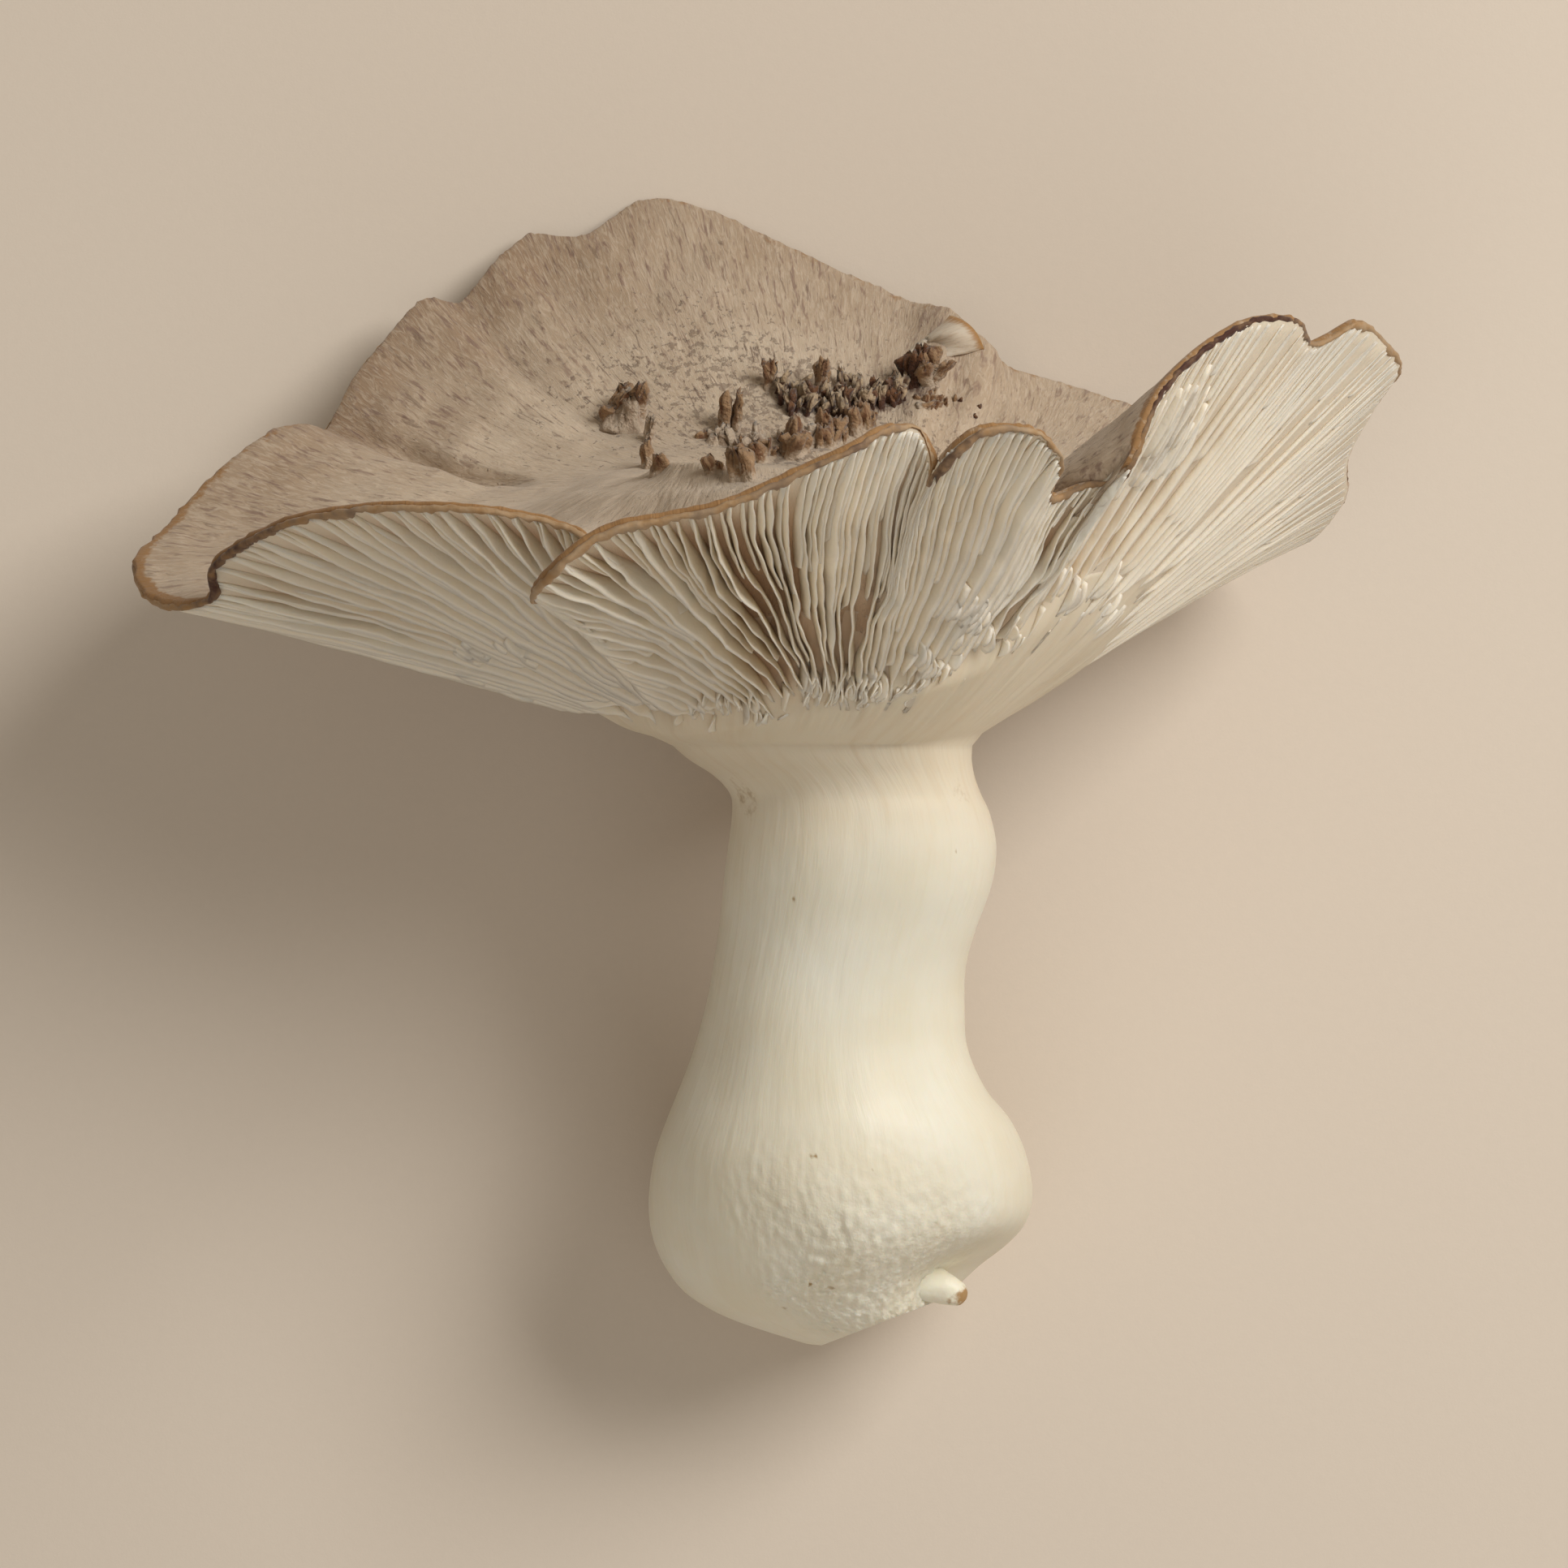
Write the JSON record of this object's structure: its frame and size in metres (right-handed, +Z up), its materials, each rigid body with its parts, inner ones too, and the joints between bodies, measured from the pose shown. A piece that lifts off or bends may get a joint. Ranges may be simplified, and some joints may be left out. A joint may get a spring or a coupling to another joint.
{
  "type": "king oyster mushroom",
  "caption": "Overgrown king oyster mushroom lying on its side, with a wide wavy funnel cap, gills that run down onto the neck, scales on the cap and a thick stem with a bulb cut off by a knife.",
  "frame": {"origin": "middle of the outer box in X and Y, at the height of the surface the mushroom lies on", "axes": "+Z up, +Y along the stem from the cut foot towards the cap, +X across the cap towards its raised wing"},
  "size_m": [0.1402, 0.1354, 0.1045],
  "materials": {
    "cap_skin": "dry, finely fibrous skin, beige with grey-brown flecks and an ochre margin",
    "gills": "thin pale grey-cream blades, slightly translucent",
    "stem": "smooth cream-white flesh, rough and lumpy near the foot",
    "scales": "dry dark brown clumps with paler tips"
  },
  "bodies": {
    "root": {"king_oyster_mushroom": "cap_skin"}
  },
  "joints": []
}
